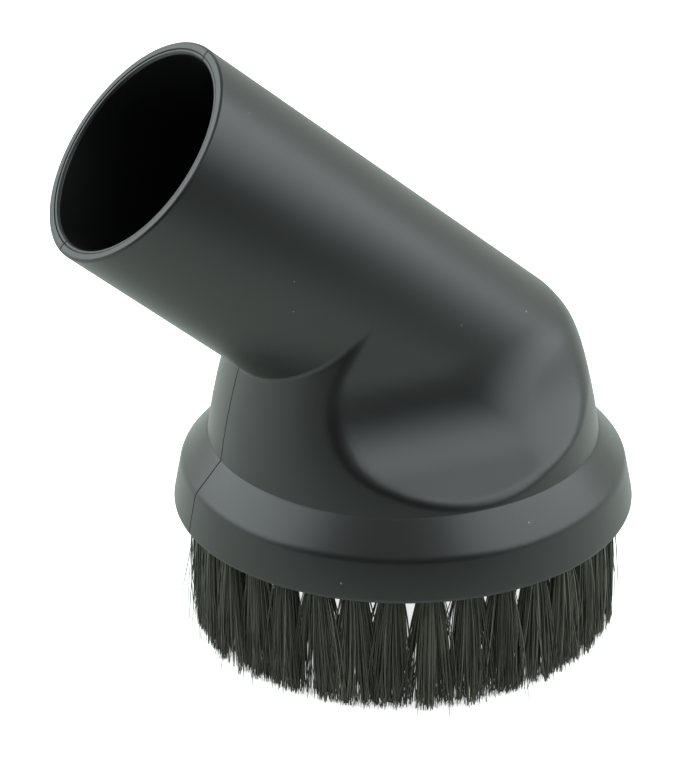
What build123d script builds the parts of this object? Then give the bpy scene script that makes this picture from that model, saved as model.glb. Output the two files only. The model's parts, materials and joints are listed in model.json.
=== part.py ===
from build123d import *
import os
from math import asin, cos, degrees, pi, radians, sin, tan

# Round dusting brush for a vacuum wand, in millimetres.
# The brush stands on its bristle tips at z = 0, and the ring of tufts is centred on the Z axis.
# The socket tube lies in the XZ plane and rises towards -X. That plane is also the mould's parting plane.

# Wand socket
SOCKET_BORE = 32.0
WALL = 2.0
TUBE_ANGLE = 41.0
TUBE_LENGTH = 55.8
TUBE_CROSSING = 15.9
MOUTH_BEVEL = 0.7
MOUTH_LEAD_IN = 0.6

# Domed bell
BELL_RADIUS = 29.7
BELL_LEAN = 8.0
BELL_CURVE = 110.0
BELL_TOP = 46.0

# Neck of the bell and its flared skirt
NECK_INSET = 1.95
FLARE_FOOT = 0.88
FLARE_CURVE = 18.0
FLARE_SLOPE = 52.0
SKIRT_ROUNDING = 1.8
SHOULDER_ROUNDING = 1.0

# Flange and rim that carry the bristles
FLANGE_WIDTH = 4.2
FLANGE_HEIGHT = 5.0
RIM_HEIGHT = 6.5
RIM_TAPER = 1.2
RIM_ROUNDING = 0.6
RIM_CHAMFER = 0.5

# Tufts, each folded over a flat wire anchor in a blind hole
BRISTLE_LENGTH = 20.0
TUFT_COUNT = 34
HOLE_MARGIN = 4.8
HOLE_RADIUS = 1.4
HOLE_DEPTH = 6.0
TUFT_CLEARANCE = 0.05
LOCK_RADIUS = 0.7
LOCK_TIP_RADIUS = 0.6
LOCKS_AROUND = 5
LOCK_SIDES = 4
ROOT_SIDES = 8
TIP_SPREAD_ALONG = 1.8
TIP_SPREAD_OUT = 1.1
TIP_LEAN = 0.6
TIP_RAGGED = 0.9
TUFT_KINDS = 3
ANCHOR_THICKNESS = 0.4
ANCHOR_WIDTH = 2.4
ANCHOR_HEIGHT = 1.6
ANCHOR_COVER = 0.8

TUBE_RADIUS = SOCKET_BORE / 2 + WALL
NECK_OFFSET = BELL_RADIUS - NECK_INSET - TUBE_RADIUS
FLARE_END = TUBE_RADIUS + FLARE_CURVE * (1 - cos(radians(FLARE_SLOPE)))
FLARE_FALL = FLARE_CURVE * sin(radians(FLARE_SLOPE)) + (BELL_RADIUS - FLARE_END) / tan(radians(FLARE_SLOPE))
FLARE_START = FLARE_FOOT + FLARE_FALL
RIM_TOP_RADIUS = BELL_RADIUS + FLANGE_WIDTH
RIM_RADIUS = RIM_TOP_RADIUS + RIM_TAPER
TUFT_CIRCLE_RADIUS = RIM_RADIUS - HOLE_MARGIN
RIM_BASE = BRISTLE_LENGTH
BELL_BASE = RIM_BASE + RIM_HEIGHT + FLANGE_HEIGHT
CHAMBER_RADIUS = BELL_RADIUS - WALL
TUBE_AXIS = Vector(-cos(radians(TUBE_ANGLE)), 0, sin(radians(TUBE_ANGLE)))
CROSSING = Vector(0, 0, BELL_BASE + TUBE_CROSSING)
REACH = 2 * (TUBE_LENGTH + RIM_RADIUS)
UPWARDS = (Align.CENTER, Align.CENTER, Align.MIN)


def bell(inset):
    """The dome: an arc that leans in from the base and bulges outwards, turned about Z."""
    lean = radians(BELL_LEAN)
    centre_r = BELL_RADIUS - BELL_CURVE * cos(lean)
    centre_z = -BELL_CURVE * sin(lean)
    curve = BELL_CURVE - inset
    low = -FLANGE_HEIGHT / 2
    low_angle = degrees(asin((low - centre_z) / curve))
    top_angle = degrees(asin((BELL_TOP - centre_z) / curve))
    side = CenterArc((centre_r, centre_z), curve, low_angle, top_angle - low_angle)
    outline = side + Polyline(side @ 1, (0, BELL_TOP), (0, low), side @ 0)
    return Pos(0, 0, BELL_BASE) * revolve(Plane.XZ * make_face(outline), Axis.Z)


def flare_face(inset):
    """Half the neck's section: straight wall, concave flare, then a straight slope below it."""
    wall = TUBE_RADIUS - inset
    curve = CenterArc((TUBE_RADIUS + FLARE_CURVE, FLARE_START), FLARE_CURVE + inset, 180, FLARE_SLOPE)
    flare_end = curve @ 1
    fall = (RIM_RADIUS - flare_end.X) / tan(radians(FLARE_SLOPE))
    low = flare_end.Y - fall - FLANGE_HEIGHT
    slope_end = (RIM_RADIUS, flare_end.Y - fall)
    line = Polyline(flare_end, slope_end, (RIM_RADIUS, low), (0, low), (0, REACH), (wall, REACH), curve @ 0)
    return make_face(curve + line)


def skirt(inset):
    """The neck with its flare: turned about its own axis at the back, run straight along X at the front."""
    half = flare_face(inset)
    back = Rot(0, 0, -90) * revolve(Plane.XZ * half, Axis.Z, 180)
    side = extrude(Plane.YZ * half, REACH, dir=(-1, 0, 0))
    return Pos(NECK_OFFSET, 0, BELL_BASE) * (back + side + mirror(side, Plane.XZ))


def tube_plane():
    """Square across the tube where its axis crosses the bell's, with local Y pointing down and forward."""
    return Plane(origin=CROSSING, x_dir=(0, 1, 0), z_dir=TUBE_AXIS)


def shoulder_height(inset):
    """Level where the flare starts and the neck's walls give way to the tube's roof."""
    return BELL_BASE + FLARE_START - inset


def flared_head(inset):
    """The bell cut to the neck's flare, up to the level shoulder where the flare starts."""
    below = Box(REACH, REACH, REACH, align=(Align.CENTER, Align.CENTER, Align.MAX))
    return bell(inset) & skirt(inset) & Pos(0, 0, shoulder_height(inset)) * below


def rounded_head():
    """The outside of the flared head, eased round its shoulder and where the skirt leaves the bell."""
    head = flared_head(0)
    top = head.bounding_box().max.Z
    shoulder = [edge for edge in head.edges() if edge.bounding_box().min.Z > top - 0.01]
    creases = [edge for edge in head.edges().filter_by(GeomType.BSPLINE) if edge not in shoulder]
    head = fillet(creases, SKIRT_ROUNDING)
    shoulder = [edge for edge in head.edges() if edge.bounding_box().min.Z > top - 0.01]
    return fillet(shoulder, SHOULDER_ROUNDING)


def knee(inset):
    """Above the shoulder, the tube's upper half run on along its axis until the bell's back wall cuts it."""
    radius = TUBE_RADIUS - inset
    arch = Circle(radius) + Rectangle(2 * radius, REACH, align=(Align.CENTER, Align.MIN))
    above = Pos(0, 0, shoulder_height(inset)) * Box(REACH, REACH, REACH, align=UPWARDS)
    return bell(inset) & skirt(inset) & extrude(tube_plane() * arch, REACH, both=True) & above


def tube(inset, beyond):
    """The socket tube, from the neck's axis to the mouth or past it by the given length."""
    run = Cylinder(TUBE_RADIUS - inset, REACH + TUBE_LENGTH + beyond)
    run = tube_plane() * Pos(0, 0, (TUBE_LENGTH + beyond - REACH) / 2) * run
    front = Box(REACH, REACH, REACH, align=(Align.MAX, Align.CENTER, Align.MIN))
    return run & Pos(NECK_OFFSET, 0, BELL_BASE) * front


def mouth_trim():
    """What the bevel takes off the outside of the socket's mouth."""
    blank = Cylinder(TUBE_RADIUS + MOUTH_BEVEL, 2 * MOUTH_BEVEL)
    core = Cone(TUBE_RADIUS + MOUTH_BEVEL, TUBE_RADIUS - MOUTH_BEVEL, 2 * MOUTH_BEVEL)
    return tube_plane() * Pos(0, 0, TUBE_LENGTH - MOUTH_BEVEL) * (blank - core)


def lead_in():
    """The small cone that eases the wand into the bore."""
    bore = SOCKET_BORE / 2
    cone = Cone(bore - MOUTH_LEAD_IN, bore + MOUTH_LEAD_IN, 2 * MOUTH_LEAD_IN)
    return tube_plane() * Pos(0, 0, TUBE_LENGTH - MOUTH_LEAD_IN) * cone


def ring():
    """Rim band with the sloped flange above it, up to the bell."""
    crest = (RIM_TOP_RADIUS, RIM_BASE + RIM_HEIGHT)
    outline = Polyline(
        (0, RIM_BASE),
        (RIM_RADIUS - RIM_CHAMFER, RIM_BASE),
        (RIM_RADIUS, RIM_BASE + RIM_CHAMFER),
        crest,
        (BELL_RADIUS, BELL_BASE),
        (0, BELL_BASE),
        close=True,
    )
    corner = make_face(outline).vertices().sort_by_distance(crest)[0]
    return revolve(Plane.XZ * fillet(corner, RIM_ROUNDING), Axis.Z)


def around(radius, shape):
    """Copies of a shape evenly round the brush, one for each tuft."""
    return [Rot(0, 0, 360 * i / TUFT_COUNT) * Pos(radius, 0, 0) * shape for i in range(TUFT_COUNT)]


def brush_body():
    """The one-piece moulding: socket tube, bell, flange and rim, with blind holes for the tufts."""
    outside = rounded_head() + knee(0) + tube(0, 0) + ring()
    hollow = flared_head(WALL) + knee(WALL) + tube(WALL, TUBE_LENGTH)
    chamber = Pos(0, 0, RIM_BASE) * Cylinder(CHAMBER_RADIUS, BELL_BASE - RIM_BASE, align=UPWARDS)
    hole = Pos(0, 0, RIM_BASE) * Cylinder(HOLE_RADIUS, HOLE_DEPTH, align=UPWARDS)
    return outside - hollow - chamber - mouth_trim() - lead_in() - around(TUFT_CIRCLE_RADIUS, hole)


def anchor(clearance=0.0):
    """The flat wire at the bottom of a hole, or the slot that it leaves in the tuft folded over it."""
    size = (ANCHOR_THICKNESS + 2 * clearance, ANCHOR_WIDTH + 2 * clearance, ANCHOR_HEIGHT + 2 * clearance)
    return Pos(0, 0, RIM_BASE + HOLE_DEPTH - ANCHOR_COVER - ANCHOR_HEIGHT / 2) * Box(*size)


def lock(angle, length):
    """One lock of bristles, tapering from the hole to its tip, spread out at the given angle."""
    reach_out = TIP_LEAN
    reach_along = 0
    root = 0
    if angle is not None:
        reach_out += TIP_SPREAD_OUT * cos(angle)
        reach_along = TIP_SPREAD_ALONG * sin(angle)
        root = HOLE_RADIUS - TUFT_CLEARANCE - LOCK_RADIUS
    start = Pos(root * cos(angle or 0), root * sin(angle or 0), RIM_BASE + LOCK_RADIUS)
    tip = Pos(reach_out, reach_along, RIM_BASE - length)
    ends = [start * RegularPolygon(LOCK_RADIUS, LOCK_SIDES), tip * RegularPolygon(LOCK_TIP_RADIUS, LOCK_SIDES)]
    return loft(ends, ruled=True)


def tuft(kind):
    """One tuft: its folded root in the hole, a middle lock of full length and a ragged ring of locks."""
    root = Pos(0, 0, RIM_BASE) * RegularPolygon(HOLE_RADIUS - TUFT_CLEARANCE, ROOT_SIDES)
    plug = extrude(root, HOLE_DEPTH - TUFT_CLEARANCE)
    locks = [lock(None, BRISTLE_LENGTH)]
    for i in range(LOCKS_AROUND):
        angle = 2 * pi * (i + kind / TUFT_KINDS) / LOCKS_AROUND
        shortfall = TIP_RAGGED * (1 + sin(LOCKS_AROUND * i + kind)) / 2
        locks.append(lock(angle, BRISTLE_LENGTH - shortfall))
    return plug + locks - anchor(TUFT_CLEARANCE)


os.makedirs("parts", exist_ok=True)
export_step(brush_body(), "parts/brush_body.step")
kinds = [tuft(kind) for kind in range(TUFT_KINDS)]
for i in range(TUFT_COUNT):
    placed = Rot(0, 0, 360 * i / TUFT_COUNT) * Pos(TUFT_CIRCLE_RADIUS, 0, 0) * kinds[i % TUFT_KINDS]
    export_step(placed, f"parts/tuft_{i + 1:02d}.step")
export_step(Compound(children=around(TUFT_CIRCLE_RADIUS, anchor())), "parts/anchor_wires.step")
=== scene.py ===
import json
from math import atan2, cos, pi, radians, sin, tan

import bpy
import numpy as np
from bpy.props import FloatProperty, FloatVectorProperty, IntProperty, PointerProperty
from mathutils import Matrix, Vector


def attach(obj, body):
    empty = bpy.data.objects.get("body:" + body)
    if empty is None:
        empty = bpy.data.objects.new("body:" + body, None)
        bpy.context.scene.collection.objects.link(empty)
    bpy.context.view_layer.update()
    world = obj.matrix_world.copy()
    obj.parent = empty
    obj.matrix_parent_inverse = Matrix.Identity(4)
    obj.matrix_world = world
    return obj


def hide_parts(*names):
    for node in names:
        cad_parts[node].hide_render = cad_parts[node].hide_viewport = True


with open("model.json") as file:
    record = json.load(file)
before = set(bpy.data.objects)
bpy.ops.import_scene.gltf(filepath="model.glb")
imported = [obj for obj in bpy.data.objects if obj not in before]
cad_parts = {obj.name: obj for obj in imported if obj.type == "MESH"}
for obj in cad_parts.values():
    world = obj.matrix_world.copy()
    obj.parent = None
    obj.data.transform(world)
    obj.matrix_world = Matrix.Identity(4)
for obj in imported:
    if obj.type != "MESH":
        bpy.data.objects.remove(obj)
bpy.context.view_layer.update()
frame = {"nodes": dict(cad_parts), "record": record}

bl_info = {
    "name": "Vacuum dusting brush",
    "version": (1, 0, 0),
    "blender": (4, 5, 0),
    "location": "View3D > Sidebar > Dusting brush",
    "description": "Builds a black round dusting brush with an angled socket and a ring of tufts",
    "category": "Add Mesh",
}

SEAM_EDGES = (0.00008, 0.00015)  # half widths of the parting line's dark middle and of its fading edge
RIM_LIP = 0.0005  # how far the rounded foot of the rim reaches in under it
SOCKET = next(m for m in frame["record"]["mounts"] if m["name"] == "wand_socket")
TUFT_NODES = sorted(name for name in frame["nodes"] if name.startswith("tuft_"))


# Settings

def length(name, default, description):
    return FloatProperty(
        name=name, description=description, default=default, min=0.0, unit="LENGTH", precision=5
    )


def angle(name, default, description):
    return FloatProperty(name=name, description=description, default=radians(default), unit="ROTATION")


def colour(name, default, description):
    return FloatVectorProperty(
        name=name, description=description, default=default, size=3, min=0.0, max=1.0, subtype="COLOR"
    )


class MouldingSizes(bpy.types.PropertyGroup):
    """Sizes of the one-piece moulding."""
    bore: length("Socket bore radius", SOCKET["dims"]["r_mm"] / 1000, "Inside radius of the wand socket")
    wall: length("Wall", 0.002, "Thickness of the tube and the bell")
    tube_angle: angle("Tube angle", 41.0, "Rise of the socket tube above the level")
    tube_length: length("Tube length", 0.0558, "From the bell's axis to the mouth, along the tube")
    tube_crossing: length("Tube crossing", 0.0159, "Height above the flange where the two axes meet")
    bell_radius: length("Bell radius", 0.0297, "Radius of the bell where it meets the flange")
    bell_lean: angle("Bell lean", 8.0, "How far the bell leans in at its base")
    bell_curve: length("Bell curve", 0.110, "Radius of the bell's bulging wall, seen from the side")
    neck_offset: length("Neck offset", 0.00975, "Distance of the neck's round back from the bell's axis")
    flare_start: length("Flare start", 0.0188, "Height above the flange where the neck starts to flare")
    flare_curve: length("Flare curve", 0.018, "Radius of the hollow flare")
    flare_slope: angle("Flare slope", 52.0, "Slope that the flare ends in, from upright")
    crease_rounding: length("Crease rounding", 0.0007, "Rounding where the flared neck leaves the bell")
    elbow_rounding: length("Elbow rounding", 0.0028, "Rounding where the tube turns down into the neck")
    knee_rounding: length("Knee rounding", 0.0019, "Rounding where the tube's back turns down into the bell")
    root_fillet: length("Tube root fillet", 0.0004, "Fillet where the underside of the tube meets the bell")
    rim_base: length("Rim base", 0.020, "Height of the rim's underside above the bristle tips")
    rim_height: length("Rim height", 0.0065, "Height of the rim's band")
    flange_height: length("Flange height", 0.005, "Height of the slope between the rim and the bell")
    rim_radius: length("Rim radius", 0.0351, "Radius of the rim at its foot")
    rim_top_radius: length("Rim top radius", 0.0339, "Radius of the rim at the top of its band")
    hole_circle: length("Hole circle", 0.0303, "Radius of the circle that the tuft holes lie on")
    hole_radius: length("Hole radius", 0.0014, "Radius of one tuft hole")


class TuftSizes(bpy.types.PropertyGroup):
    """Sizes of the bristle tufts."""
    strands: IntProperty(
        name="Strands", description="Bristles in one tuft", default=320, min=3, max=400
    )
    thickness: length("Bristle radius", 0.0001, "Radius of one bristle at its root")
    spread_along: length("Spread along", 0.0015, "How far the tips spread along the ring")
    spread_out: length("Spread out", 0.0007, "How far the tips spread in and out")
    lean: length("Lean", 0.0006, "How far the tips lean outwards")
    ragged: length("Ragged", 0.0021, "How much the bristles differ in length")
    seed: IntProperty(name="Seed", description="Start of the random numbers", default=7)


class BrushColours(bpy.types.PropertyGroup):
    """Colours of the finishes and the stage."""
    plastic: colour("Plastic", (0.0052, 0.0058, 0.0055), "Black moulded plastic")
    dust: colour("Dust", (0.30, 0.31, 0.30), "Fine dust on the plastic")
    bristle: colour("Bristle", (0.027, 0.028, 0.020), "Bristle in the shade")
    bristle_light: colour("Bristle light", (0.17, 0.172, 0.130), "Paler bristles")
    wire: colour("Wire", (0.50, 0.50, 0.49), "Flat wire of the anchors")
    floor: colour("Floor", (0.78, 0.82, 0.76), "Floor under the brush")


# Shader maths

class Sock:
    """A value in a material: arithmetic on it adds Math nodes."""

    def __init__(self, shader, socket):
        self.shader = shader
        self.socket = socket

    def math(self, operation, *others):
        values = [self.socket] + [o.socket if isinstance(o, Sock) else o for o in others]
        return self.shader.add("ShaderNodeMath", {"operation": operation}, dict(enumerate(values)))

    def __add__(self, other):
        return self.math("ADD", other)

    def __sub__(self, other):
        return self.math("SUBTRACT", other)

    def __rsub__(self, other):
        return (self * -1.0) + other

    def __mul__(self, other):
        return self.math("MULTIPLY", other)

    def __truediv__(self, other):
        return self.math("DIVIDE", other)

    def __pow__(self, other):
        return self.math("POWER", other)

    __radd__ = __add__
    __rmul__ = __mul__

    def clamp(self):
        return self.math("MAXIMUM", 0.0).math("MINIMUM", 1.0)

    def ramp(self, low, high):
        """0 below low, 1 above high and a straight line between them."""
        return ((self - low) / (high - low)).clamp()


class Shader:
    """A material or world being built, with one method that adds any node."""

    def __init__(self, owner):
        owner.use_nodes = True
        self.tree = owner.node_tree
        self.tree.nodes.clear()

    def add(self, kind, settings=None, inputs=None, output=0):
        node = self.tree.nodes.new(kind)
        for name, value in (settings or {}).items():
            setattr(node, name, value)
        for name, value in (inputs or {}).items():
            self.fill(node.inputs[name], value)
        return Sock(self, node.outputs[output]) if len(node.outputs) else node

    def fill(self, socket, value):
        """Links a value of this class to a socket, or sets the socket to a plain one."""
        if isinstance(value, Sock):
            self.tree.links.new(value.socket, socket)
        elif isinstance(value, bpy.types.NodeSocket):
            self.tree.links.new(value, socket)
        else:
            socket.default_value = value

    def place(self):
        return self.add("ShaderNodeTexCoord", output="Object")

    def noise(self, where, scale, detail=2.0, roughness=0.5):
        values = {"Vector": where, "Scale": scale, "Detail": detail, "Roughness": roughness}
        return self.add("ShaderNodeTexNoise", {}, values, "Fac")

    def split(self, where, axis):
        return self.add("ShaderNodeSeparateXYZ", {}, {0: where}, axis)

    def mix(self, factor, first, second):
        """A colour between two others; the node's colour sockets share their names with its other kinds."""
        node = self.tree.nodes.new("ShaderNodeMix")
        node.data_type = "RGBA"
        colours = [s for s in node.inputs if s.type == "RGBA"]
        for socket, value in zip((node.inputs["Factor"], *colours), (factor, first, second)):
            self.fill(socket, value)
        return Sock(self, next(s for s in node.outputs if s.type == "RGBA"))


def rgba(value):
    return (*value, 1.0)


def black_plastic(colours):
    """Satin black moulding: fine grain, faint clouding, a parting line in the tube's plane and some dust."""
    material = bpy.data.materials.new("black_plastic")
    sh = Shader(material)
    where = sh.place()
    across = sh.split(where, "Y").math("ABSOLUTE")
    seam = 1.0 - across.ramp(*SEAM_EDGES)
    grain = sh.noise(where, 3800.0, 3.0)
    ripple = sh.noise(where, 130.0, 2.0)
    cloud = sh.noise(where, 38.0, 3.0)
    specks = sh.add("ShaderNodeTexVoronoi", {}, {"Vector": where, "Scale": 330.0}, "Distance")
    dusted = (1.0 - specks.ramp(0.03, 0.055)) * sh.noise(where, 60.0).ramp(0.60, 0.62)
    worn = rgba([c * 1.35 for c in colours.plastic])
    shade = sh.mix(cloud.ramp(0.35, 0.7) * 0.35, rgba(colours.plastic), worn)
    shade = sh.mix(dusted * 0.85, shade, rgba(colours.dust))
    rough = 0.33 + cloud.ramp(0.3, 0.7) * 0.05 + grain * 0.03
    height = grain * 0.0000020 + ripple * 0.000018 - seam * 0.00012
    bump = sh.add("ShaderNodeBump", {}, {"Strength": 0.55, "Distance": 1.0, "Height": height})
    values = {"Base Color": shade, "Roughness": rough, "IOR": 1.54, "Normal": bump}
    skin = sh.add("ShaderNodeBsdfPrincipled", {}, values)
    values = {"Base Color": (0.001, 0.001, 0.001, 1.0), "Roughness": 1.0, "IOR": 1.1}
    gap = sh.add("ShaderNodeBsdfPrincipled", {}, values)
    surface = sh.add("ShaderNodeMixShader", {}, {0: seam * 0.85, 1: skin, 2: gap})
    sh.add("ShaderNodeOutputMaterial", {}, {"Surface": surface})
    return material


def black_bristle(colours):
    """Soft black bristle: each strand has its own shade, and is a little paler towards its worn tip."""
    material = bpy.data.materials.new("black_bristle")
    sh = Shader(material)
    where = sh.place()
    strand = sh.add("ShaderNodeAttribute", {"attribute_name": "strand"}, {}, "Fac")
    down = sh.add("ShaderNodeAttribute", {"attribute_name": "down"}, {}, "Fac")
    fleck = sh.noise(where, 900.0, 2.0)
    paler = (strand ** 2.2 * 0.8 + fleck * 0.15 + down.ramp(0.75, 1.0) * 0.2).clamp()
    shade = sh.mix(paler, rgba(colours.bristle), rgba(colours.bristle_light))
    rough = 0.42 + strand * 0.2
    surface = sh.add("ShaderNodeBsdfPrincipled", {}, {"Base Color": shade, "Roughness": rough, "IOR": 1.5})
    sh.add("ShaderNodeOutputMaterial", {}, {"Surface": surface})
    return material


def anchor_wire(colours):
    """Flat drawn steel wire, with fine scratches along its length."""
    material = bpy.data.materials.new("anchor_wire")
    sh = Shader(material)
    where = sh.place()
    scratch = sh.noise(where, 9000.0, 3.0)
    shade = sh.mix(scratch, rgba([c * 0.7 for c in colours.wire]), rgba(colours.wire))
    rough = 0.28 + scratch * 0.2
    bump = sh.add("ShaderNodeBump", {}, {"Strength": 0.3, "Distance": 1.0, "Height": scratch * 0.000004})
    values = {"Base Color": shade, "Metallic": 1.0, "Roughness": rough, "Normal": bump}
    surface = sh.add("ShaderNodeBsdfPrincipled", {}, values)
    sh.add("ShaderNodeOutputMaterial", {}, {"Surface": surface})
    return material


# Meshes from whole arrays

def grid_faces(rows, columns, closed):
    """Quads of a grid whose points are numbered row by row; closed joins the last column to the first."""
    across = columns if closed else columns - 1
    row, column = np.meshgrid(np.arange(rows - 1), np.arange(across), indexing="ij")
    after = (column + 1) % columns
    above, below = row * columns, (row + 1) * columns
    return np.stack((above + column, below + column, below + after, above + after), axis=-1).reshape(-1, 4)


def merged(parts):
    """Points and quads of several grids as one list of each."""
    points, faces, start = [], [], 0
    for p, f in parts:
        points.append(p.reshape(-1, 3))
        faces.append(f + start)
        start += len(points[-1])
    return np.concatenate(points), np.concatenate(faces)


def make_piece(name, points, faces, material, attributes=None):
    """A mesh object at the origin with smooth faces and one material."""
    mesh = bpy.data.meshes.new(name)
    mesh.vertices.add(len(points))
    mesh.vertices.foreach_set("co", points.astype(np.float32).ravel())
    corners = faces.shape[1]
    mesh.loops.add(faces.size)
    mesh.loops.foreach_set("vertex_index", faces.astype(np.int32).ravel())
    mesh.polygons.add(len(faces))
    mesh.polygons.foreach_set("loop_start", np.arange(0, faces.size, corners, dtype=np.int32))
    mesh.polygons.foreach_set("use_smooth", np.ones(len(faces), dtype=bool))
    for key, values in (attributes or {}).items():
        attribute = mesh.attributes.new(key, "FLOAT", "POINT")
        attribute.data.foreach_set("value", values.astype(np.float32).ravel())
    mesh.update(calc_edges=True)
    if mesh.validate():
        raise RuntimeError(f"{name} has faces that don't hold")
    mesh.materials.append(material)
    piece = bpy.data.objects.new(name, mesh)
    bpy.context.scene.collection.objects.link(piece)
    return piece


# The moulding

def round_both(first, second, radius):
    """Inside both forms, with their common edge rounded: the distance from the corner of the two, each moved
    in by the radius."""
    corner = np.hypot(np.maximum(first + radius, 0.0), np.maximum(second + radius, 0.0))
    return np.minimum(np.maximum(first, second), -radius) + corner


def round_either(first, second, radius):
    """Inside either form, with a fillet between them: the same as rounding the two spaces outside them."""
    return -round_both(-first, -second, radius)


class Duct:
    """Signed distances of the tube, neck and bell, drawn in from the outside by the inset. Heights are above
    the flange."""
    start_behind = 0.003  # where the rays start, behind the crossing of the two axes
    tube_behind = 0.004  # where the tube starts, behind the same point
    nearest, farthest = 0.002, 0.090  # the stretch of each ray that is searched
    halvings = 34
    fine_rows = 500
    knee_starts, knee_grows = (0.004, 0.008), (0.012, 0.010)  # along X and up, of the knee's wider rounding
    fillet_grows = 0.006  # how far below the tube's axis its root fillet reaches its full size

    def __init__(self, sizes, inset):
        self.sizes = sizes
        self.inset = inset
        self.radius = sizes.bore + sizes.wall - inset
        self.axis = np.array([-cos(sizes.tube_angle), 0.0, sin(sizes.tube_angle)])
        self.up = np.array([sin(sizes.tube_angle), 0.0, cos(sizes.tube_angle)])
        self.crossing = np.array([0.0, 0.0, sizes.tube_crossing])

    def bell(self, p):
        """The wall is an arc turned about Z: distance from its centre in the half plane, less its radius."""
        s = self.sizes
        centre_r = s.bell_radius - s.bell_curve * cos(s.bell_lean)
        centre_z = -s.bell_curve * sin(s.bell_lean)
        out = np.hypot(p[..., 0], p[..., 1]) - centre_r
        return np.hypot(out, p[..., 2] - centre_z) - (s.bell_curve - self.inset)

    def neck(self, p):
        """Inside an elbow: the half section of the tube and the round-backed section of the neck, both of one
        width, which is the tube's down to the flare, then grows along a hollow arc and a slope. Where they
        cross, their edge is rounded, and less towards the sides: by s² / (s² + 0.11), with s the distance
        from the start of the neck's round back over the tube's radius."""
        s = self.sizes
        reach = s.flare_curve + self.inset
        drop = np.maximum(s.flare_start - p[..., 2], 0.0)
        arc = np.minimum(drop, reach * sin(s.flare_slope))
        upright = np.sqrt(reach ** 2 - arc ** 2)
        half = s.bore + s.wall + s.flare_curve - upright + (drop - arc) * tan(s.flare_slope)
        behind = np.maximum(p[..., 0] - s.neck_offset, 0.0)
        high = np.maximum((p - self.crossing) @ self.up, 0.0)
        side = (np.hypot(behind, p[..., 1]) - half) * upright / reach
        arch = (np.hypot(high, p[..., 1]) - half) * upright / reach
        share = behind / (s.bore + s.wall)
        round_off = s.elbow_rounding * share ** 2 / (share ** 2 + 0.11)
        return round_both(side, arch, round_off + 1e-7)

    def tube(self, p):
        """The cylinder about the tube's axis, from inside the bell outwards."""
        rel = p - self.crossing
        around = np.hypot(rel @ self.up, p[..., 1]) - self.radius
        return np.maximum(around, -self.tube_behind - rel @ self.axis)

    def field(self, p):
        """Bell and neck rounded into each other, more at the knee, then joined to the tube, with a fillet on
        its underside only."""
        s = self.sizes
        low = -((p - self.crossing) @ self.up)
        knee = np.clip((p[..., [0, 2]] - self.knee_starts) / self.knee_grows, 0.0, 1.0).prod(axis=-1)
        rounding = s.crease_rounding + (s.knee_rounding - s.crease_rounding) * knee
        fillet = s.root_fillet * np.clip(low / self.fillet_grows, 0.0, 1.0) + 1e-7
        return round_either(round_both(self.bell(p), self.neck(p), rounding), self.tube(p), fillet)

    def sideways(self, psi):
        """Directions square to the tube's axis, turned round it by psi."""
        across = np.stack([np.zeros_like(psi), np.cos(psi), np.zeros_like(psi)], axis=-1)
        return across + np.sin(psi)[..., None] * self.up

    def rays(self, psi, theta):
        """Directions at an angle theta from the tube's axis, turned round it by psi."""
        return np.cos(theta)[..., None] * self.axis + np.sin(theta)[..., None] * self.sideways(psi)

    def surface(self, psi, theta, start):
        """The point of the form along each ray, by halving the stretch in which the field changes sign."""
        ray = self.rays(psi, theta)
        near = np.full(theta.shape, self.nearest)
        far = np.full(theta.shape, self.farthest)
        for _ in range(self.halvings):
            middle = (near + far) / 2
            inside = self.field(start + middle[..., None] * ray) < 0.0
            near = np.where(inside, middle, near)
            far = np.where(inside, far, middle)
        return start + near[..., None] * ray

    def head_rows(self, columns, rows, join, floor):
        """The bell and neck as a grid: round the tube's axis, and from the tube down to the given height in
        even steps along the surface, found on a fine grid of rays."""
        start = self.crossing - self.start_behind * self.axis
        psi = np.linspace(0.0, 2 * pi, columns, endpoint=False)
        first = atan2(self.radius, join + self.start_behind)
        theta = np.linspace(first, pi * 0.97, self.fine_rows)
        fine = self.surface(*np.broadcast_arrays(psi[None, :], theta[:, None]), start)
        below = fine[..., 2] < floor
        last = np.argmax(below, axis=0)
        last = np.where(below.any(axis=0), last, len(theta) - 1)
        step = np.linalg.norm(np.diff(fine, axis=0), axis=-1)
        step = np.where(np.arange(len(theta) - 1)[:, None] < last[None, :], step, 0.0)
        travel = np.concatenate([np.zeros((1, columns)), np.cumsum(step, axis=0)])
        even = np.linspace(0.0, 1.0, rows)
        angles = np.stack([
            np.interp(even * way[end], way[: end + 1], theta[: end + 1]) for way, end in zip(travel.T, last)
        ], axis=1)
        return self.surface(np.broadcast_to(psi, angles.shape), angles, start)

    def tube_rows(self, columns, profile):
        """A profile of (distance along, radius) pairs turned about the tube's axis."""
        psi = np.linspace(0.0, 2 * pi, columns, endpoint=False)
        along, radius = np.array(profile).T
        return self.crossing + along[:, None, None] * self.axis + radius[:, None, None] * self.sideways(psi)


def eased(points, radius, count=5):
    """A polyline whose inner corners are each replaced by a quadratic curve that leaves the two edges at the
    radius from the corner, or halfway along a shorter edge: (1 - t)² a + 2t(1 - t) corner + t² b."""
    points = [np.array(p, float) for p in points]
    out = [points[0]]
    for before, corner, after in zip(points, points[1:], points[2:]):
        back, on = np.linalg.norm(before - corner), np.linalg.norm(after - corner)
        near = corner + (before - corner) / back * min(radius, back / 2)
        past = corner + (after - corner) / on * min(radius, on / 2)
        t = np.linspace(0.0, 1.0, count)[:, None]
        out.extend((1 - t) ** 2 * near + 2 * t * (1 - t) * corner + t ** 2 * past)
    out.append(points[-1])
    return out


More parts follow.
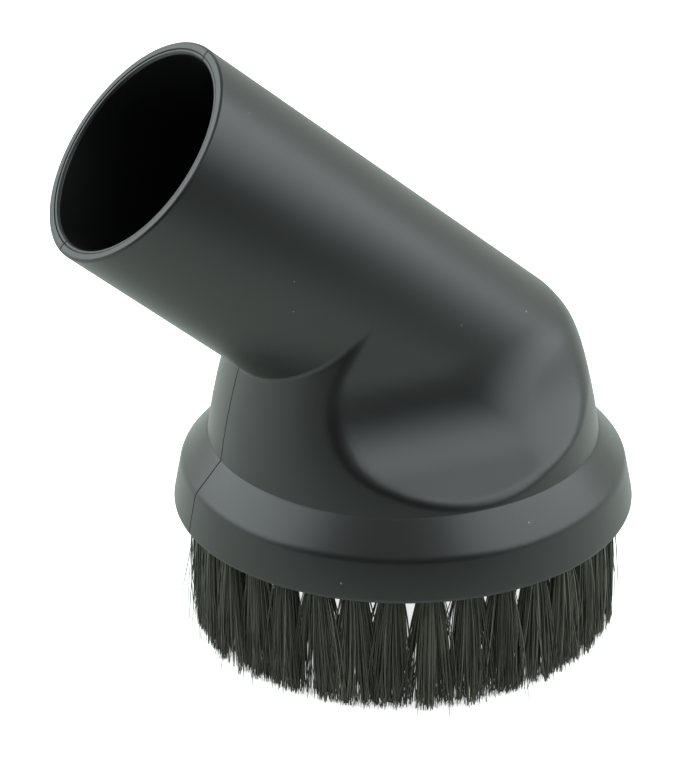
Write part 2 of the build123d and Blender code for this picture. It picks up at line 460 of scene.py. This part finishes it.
def duct_grid(sizes, columns=256):
    """The duct as one sheet: up the inside, round the socket's mouth and down the outside to the flange."""
    outer, inner = Duct(sizes, 0.0), Duct(sizes, sizes.wall)
    join = 0.024  # along the tube, where its turned length takes over from the solved head
    sunk_under_flange = 0.0015
    skin_rows, lining_rows = 172, 70
    skin = outer.head_rows(columns, skin_rows, join, -sunk_under_flange)
    lining = inner.head_rows(columns, lining_rows, join, 0.0)[::-1]
    bore, outside, end = sizes.bore, sizes.bore + sizes.wall, sizes.tube_length
    lead_in, sunk, edge = 0.0005, 0.0001, 0.0003  # of the mouth's bore, its inner ring and its outer edge
    mouth = eased(
        [
            (join + 0.001, bore),
            (end - lead_in, bore),
            (end - sunk, bore + 0.0003),
            (end - sunk, bore + 0.00062),
            (end - 2 * sunk, bore + 0.00068),
            (end, bore + 0.00076),
            (end, outside - edge),
            (end - edge, outside),
            (join + 0.001, outside),
        ],
        0.00012,
    )
    rows = [lining, outer.tube_rows(columns, mouth), skin]
    points = np.concatenate(rows)
    points[..., 2] += sizes.rim_base + sizes.rim_height + sizes.flange_height
    return points, grid_faces(len(points), columns, True)


def rim_grid(sizes, columns):
    """The flange, rim and chamber wall turned about Z, without the underside."""
    base = sizes.rim_base + sizes.rim_height + sizes.flange_height
    chamber = sizes.bell_radius - sizes.wall
    profile = eased(
        [
            (chamber, sizes.rim_base),
            (chamber, base),
            (sizes.bell_radius - 0.0006, base + 0.0001),
            (sizes.bell_radius, base),
            (sizes.rim_top_radius, base - sizes.flange_height),
            (sizes.rim_radius, sizes.rim_base),
            (sizes.rim_radius - RIM_LIP, sizes.rim_base),
        ],
        0.0007,
    )
    turn = np.linspace(0.0, 2 * pi, columns, endpoint=False)
    radius, height = np.array(profile).T[..., None]
    points = np.stack([radius * np.cos(turn), radius * np.sin(turn), height + np.zeros(columns)], axis=-1)
    return points, grid_faces(len(radius), columns, True)[:, ::-1]


def underside_grids(sizes, count, steps):
    """The rim's flat underside, one sector to a hole: straight lines from the hole's edge to the sector's,
    then the hole's wall."""
    inner, outer = sizes.bell_radius - sizes.wall, sizes.rim_radius - RIM_LIP
    depth = 0.003
    half = pi / count
    ramp = np.arange(steps) / steps
    out = inner + (outer - inner) * ramp
    back = outer - (outer - inner) * ramp
    radius = np.concatenate([out, np.full(steps, outer), back, np.full(steps, inner)])
    turn = np.concatenate([
        np.full(steps, -half), half * (2 * ramp - 1), np.full(steps, half), half * (1 - 2 * ramp)
    ])
    edge = np.stack([radius * np.cos(turn), radius * np.sin(turn)], axis=-1)
    centre = np.array([sizes.hole_circle, 0.0])
    away = edge - centre
    lip = centre + sizes.hole_radius * away / np.linalg.norm(away, axis=-1, keepdims=True)
    blend = np.linspace(0.0, 1.0, 4)[:, None, None]
    flat = lip + (edge - lip) * blend
    flat = np.concatenate([flat, np.zeros(flat.shape[:2] + (1,))], axis=-1)
    deep = np.concatenate([lip, np.full((len(lip), 1), depth)], axis=-1)[None]
    sector = np.concatenate([deep, flat]) + np.array([0.0, 0.0, sizes.rim_base])
    parts = []
    for i in range(count):
        c, s = cos(2 * pi * i / count), sin(2 * pi * i / count)
        turned = sector @ np.array([[c, s, 0.0], [-s, c, 0.0], [0.0, 0.0, 1.0]])
        parts.append((turned, grid_faces(sector.shape[0], sector.shape[1], True)))
    return parts


class DUSTING_OT_moulding(bpy.types.Operator):
    """Builds the socket tube, bell, neck, flange and rim as one moulding"""
    bl_idname = "dusting.moulding"
    bl_label = "Brush body"

    def execute(self, context):
        sizes = context.scene.moulding_sizes
        steps = 8
        parts = [duct_grid(sizes), rim_grid(sizes, len(TUFT_NODES) * steps)]
        parts += underside_grids(sizes, len(TUFT_NODES), steps)
        piece = make_piece("moulded_body", *merged(parts), black_plastic(context.scene.brush_colours))
        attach(piece, "root")
        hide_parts("brush_body")
        return {"FINISHED"}


# The tufts

def tuft_strands(sizes, tufts, turn, rng):
    """Strands from a round bundle in the hole to tips that spread in clumps: root + (tip - root) * u ** 0.65,
    with u the share of the way below the rim, and a bow of 4t(1 - t), with t the share of the whole strand.
    In pairs of numbers the first is outwards and the second along the ring."""
    n = tufts.strands
    clumps, clump_fan, loose_fan = 9, [1.2, 3.1], [1.2, 3.2]
    stray_share, stray_reach, tuft_sway = 0.04, 0.0014, 0.0004
    depth_in_hole, lowest_tip = 0.002, 0.00015
    t = np.array([0.0, 0.09, 0.19, 0.34, 0.54, 0.77, 1.0])
    sides = 3
    root_r = (sizes.hole_radius - tufts.thickness * 1.3) * np.sqrt(rng.random(n))
    root_a = 2 * pi * rng.random(n)
    root = np.stack([root_r * np.cos(root_a), root_r * np.sin(root_a)], axis=-1)
    clump_root = rng.normal(0.0, 0.6, (clumps, 2)) * sizes.hole_radius
    spread = [tufts.spread_out, tufts.spread_along]
    clump_tip = clump_root * clump_fan + rng.normal(0.0, 0.6, (clumps, 2)) * spread
    own = np.argmin(np.linalg.norm(root[:, None] - clump_root[None], axis=-1), axis=1)
    loose = root * loose_fan + rng.normal(0.0, 0.5, (n, 2)) * spread
    gather = rng.uniform(0.1, 0.75, (n, 1))
    tip = loose * (1 - gather) + clump_tip[own] * gather
    stray = rng.random(n) > 1.0 - stray_share
    tip[stray] += rng.normal(0.0, stray_reach, (stray.sum(), 2))
    tip[:, 0] += tufts.lean
    tip[:, 1] += rng.normal(0.0, tuft_sway)
    top = sizes.rim_base + depth_in_hole
    bottom = tufts.ragged * rng.beta(1.3, 2.2, n) + lowest_tip
    opened = (np.maximum(t - t[1], 0.0) / (1.0 - t[1])) ** 0.65
    bow = rng.normal(0.0, 0.00032, (n, 2))
    curve = root[:, None] + (tip - root)[:, None] * opened[None, :, None]
    curve = curve + bow[:, None] * (4 * t * (1 - t))[None, :, None]
    height = top + (bottom[:, None] - top) * t[None, :]
    radius = tufts.thickness * rng.uniform(0.75, 1.2, (n, 1)) * (1.0 - 0.55 * t[None, :] ** 3)
    side = 2 * pi * np.arange(sides) / sides + rng.uniform(0.0, 2 * pi, (n, 1))
    ring = np.stack([np.cos(side), np.sin(side)], axis=-1)
    flat = curve[:, :, None] + radius[:, :, None, None] * ring[:, None]
    height = np.broadcast_to(height[:, :, None, None], flat.shape[:3] + (1,))
    points = np.concatenate([flat, height], axis=-1)
    points[..., 0] += sizes.hole_circle
    c, s = cos(turn), sin(turn)
    points = points @ np.array([[c, s, 0.0], [-s, c, 0.0], [0.0, 0.0, 1.0]])
    one = grid_faces(len(t), sides, True)
    faces = (one[None] + len(t) * sides * np.arange(n)[:, None, None]).reshape(-1, 4)
    shade = np.broadcast_to(rng.random(n)[:, None, None], flat.shape[:3])
    down = np.broadcast_to(t[None, :, None], flat.shape[:3])
    return points.reshape(-1, 3), faces[:, ::-1], {"strand": shade, "down": down}


class DUSTING_OT_tufts(bpy.types.Operator):
    """Builds each tuft as a bundle of fine strands in its hole"""
    bl_idname = "dusting.tufts"
    bl_label = "Bristle tufts"

    def execute(self, context):
        scene = context.scene
        material = black_bristle(scene.brush_colours)
        rng = np.random.default_rng(scene.tuft_sizes.seed)
        for i, node in enumerate(TUFT_NODES):
            turn = 2 * pi * i / len(TUFT_NODES)
            points, faces, values = tuft_strands(scene.moulding_sizes, scene.tuft_sizes, turn, rng)
            piece = make_piece(f"bristles_{i + 1:02d}", points, faces, material, values)
            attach(piece, "root")
            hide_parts(node)
        return {"FINISHED"}


class DUSTING_OT_wires(bpy.types.Operator):
    """Gives the wire anchors in the holes their steel finish"""
    bl_idname = "dusting.wires"
    bl_label = "Wire anchors"

    def execute(self, context):
        wires = frame["nodes"]["anchor_wires"]
        wires.data.materials.clear()
        wires.data.materials.append(anchor_wire(context.scene.brush_colours))
        return {"FINISHED"}


# The stage

VIEW_AZIMUTH, VIEW_ELEVATION, VIEW_ROLL = radians(-22.61), radians(26.605), radians(-0.317)
VIEW_TARGET, VIEW_DISTANCE = (-0.00789, 0.00628, 0.0370), 0.63194
SENSOR, FOCAL_PIXELS, PICTURE_PIXELS = 36.0, 4157.7, 768.0
LAMP_AIM, LAMP_DISTANCE = (0.0, 0.0, 0.05), 1.3


def direction(azimuth, elevation):
    """A unit direction: the azimuth is turned from -Y towards +X, and the elevation is above the level."""
    return Vector((sin(azimuth) * cos(elevation), -cos(azimuth) * cos(elevation), sin(elevation)))


def softbox(name, azimuth, elevation, size, radiance, tint):
    """A rectangular lamp that looks at the brush; its power is its radiance times pi times its area."""
    lamp = bpy.data.lights.new(name, "AREA")
    lamp.shape = "RECTANGLE"
    lamp.size, lamp.size_y = size
    lamp.energy = radiance * pi * size[0] * size[1]
    lamp.color = tint
    box = bpy.data.objects.new(name, lamp)
    towards = direction(azimuth, elevation)
    turn = towards.to_track_quat("Z", "Y").to_matrix().to_4x4()
    box.matrix_world = Matrix.Translation(Vector(LAMP_AIM) + towards * LAMP_DISTANCE) @ turn
    bpy.context.scene.collection.objects.link(box)


def towards_back(sh, where):
    """How far a place or a direction lies towards the back of the picture: 0.30 x + 0.95 y."""
    return sh.split(where, "X") * 0.30 + sh.split(where, "Y") * 0.95


def studio_world():
    """White surroundings that turn dark towards the front of the brush, low down."""
    world = bpy.data.worlds.new("studio")
    sh = Shader(world)
    where = sh.add("ShaderNodeTexCoord", output="Generated")
    behind = towards_back(sh, where).ramp(-0.65, 0.35)
    high = sh.split(where, "Z").ramp(0.35, 0.80)
    low_part = 0.035 + behind * 1.02
    strength = low_part * (1.0 - high) + high * 0.55
    back = sh.add("ShaderNodeBackground", {}, {"Color": (0.94, 1.0, 0.95, 1.0), "Strength": strength})
    sh.add("ShaderNodeOutputWorld", {}, {"Surface": back})
    bpy.context.scene.world = world


def floor_material(colours):
    """Matt white floor, painted grey at the front as shade that the plastic reflects, that the camera sees a
    little brighter, with its shadows kept.
    """
    material = bpy.data.materials.new("floor")
    sh = Shader(material)
    where = sh.place()
    mottle = sh.noise(where, 9.0)
    shade = sh.mix(mottle * 0.1, rgba(colours.floor), rgba([c * 0.97 for c in colours.floor]))
    # painted shade: the floor darkens to 0.18 of its colour towards the front, so the plastic reflects shade
    # there
    front = (towards_back(sh, where) * -1.0).ramp(0.13, 0.19)
    shade = sh.mix(front, shade, rgba([c * 0.18 for c in colours.floor]))
    paper = sh.add("ShaderNodeBsdfPrincipled", {}, {"Base Color": shade, "Roughness": 0.8, "IOR": 1.3})
    glow = sh.add("ShaderNodeEmission", {}, {"Color": (1.0, 1.0, 1.0, 1.0), "Strength": 0.80})
    both = sh.add("ShaderNodeAddShader", {}, {0: paper, 1: glow})
    seen = sh.add("ShaderNodeLightPath", output="Is Camera Ray")
    surface = sh.add("ShaderNodeMixShader", {}, {0: seen, 1: paper, 2: both})
    sh.add("ShaderNodeOutputMaterial", {}, {"Surface": surface})
    return material


class DUSTING_OT_stage(bpy.types.Operator):
    """Sets up the floor, the lamps, the surroundings and the camera"""
    bl_idname = "dusting.stage"
    bl_label = "Stage"

    def execute(self, context):
        scene = context.scene
        half, squares = 3.0, 12
        reach = np.linspace(-half, half, squares + 1)
        x, y = np.meshgrid(reach, reach, indexing="ij")
        points = np.stack([x, y, np.zeros_like(x)], axis=-1).reshape(-1, 3)
        faces = grid_faces(squares + 1, squares + 1, False)
        floor = make_piece("floor", points, faces, floor_material(scene.brush_colours))
        studio_world()
        left, right = VIEW_AZIMUTH - radians(100), VIEW_AZIMUTH + radians(84)
        softbox("left_softbox", left, radians(37), (1.75, 1.2), 2.8, (0.87, 0.965, 1.0))
        softbox("right_softbox", right, radians(40), (1.75, 1.25), 2.9, (0.88, 0.965, 1.0))
        lens = bpy.data.cameras.new("camera")
        lens.sensor_width = SENSOR
        lens.lens = FOCAL_PIXELS * SENSOR / PICTURE_PIXELS
        lens.clip_start = 0.05
        camera = bpy.data.objects.new("camera", lens)
        back = direction(VIEW_AZIMUTH, VIEW_ELEVATION)
        across = Vector((cos(VIEW_AZIMUTH), sin(VIEW_AZIMUTH), 0.0))
        up = back.cross(across)
        turned_across = across * cos(VIEW_ROLL) + up * sin(VIEW_ROLL)
        turned_up = up * cos(VIEW_ROLL) - across * sin(VIEW_ROLL)
        turn = Matrix((turned_across, turned_up, back)).transposed().to_4x4()
        camera.matrix_world = Matrix.Translation(Vector(VIEW_TARGET) + back * VIEW_DISTANCE) @ turn
        scene.collection.objects.link(camera)
        scene.camera = camera
        scene.view_settings.view_transform = "Standard"
        return {"FINISHED"}


class DUSTING_PT_panel(bpy.types.Panel):
    """Lists the brush's sizes, colours and pieces"""
    bl_idname = "DUSTING_PT_panel"
    bl_label = "Dusting brush"
    bl_space_type = "VIEW_3D"
    bl_region_type = "UI"
    bl_category = "Dusting brush"

    def draw(self, context):
        for group in (context.scene.moulding_sizes, context.scene.tuft_sizes, context.scene.brush_colours):
            box = self.layout.box()
            for key in group.__annotations__:
                box.prop(group, key)
        for operator in OPERATORS:
            self.layout.operator(operator.bl_idname)


GROUPS = (MouldingSizes, TuftSizes, BrushColours)
OPERATORS = (DUSTING_OT_moulding, DUSTING_OT_tufts, DUSTING_OT_wires, DUSTING_OT_stage)


def register():
    for cls in GROUPS + OPERATORS + (DUSTING_PT_panel,):
        bpy.utils.register_class(cls)
    bpy.types.Scene.moulding_sizes = PointerProperty(type=MouldingSizes)
    bpy.types.Scene.tuft_sizes = PointerProperty(type=TuftSizes)
    bpy.types.Scene.brush_colours = PointerProperty(type=BrushColours)


def unregister():
    del bpy.types.Scene.brush_colours
    del bpy.types.Scene.tuft_sizes
    del bpy.types.Scene.moulding_sizes
    for cls in reversed(GROUPS + OPERATORS + (DUSTING_PT_panel,)):
        bpy.utils.unregister_class(cls)


def main():
    register()
    bpy.ops.dusting.moulding()
    bpy.ops.dusting.tufts()
    bpy.ops.dusting.wires()
    bpy.ops.dusting.stage()


if __name__ == "__main__":
    main()
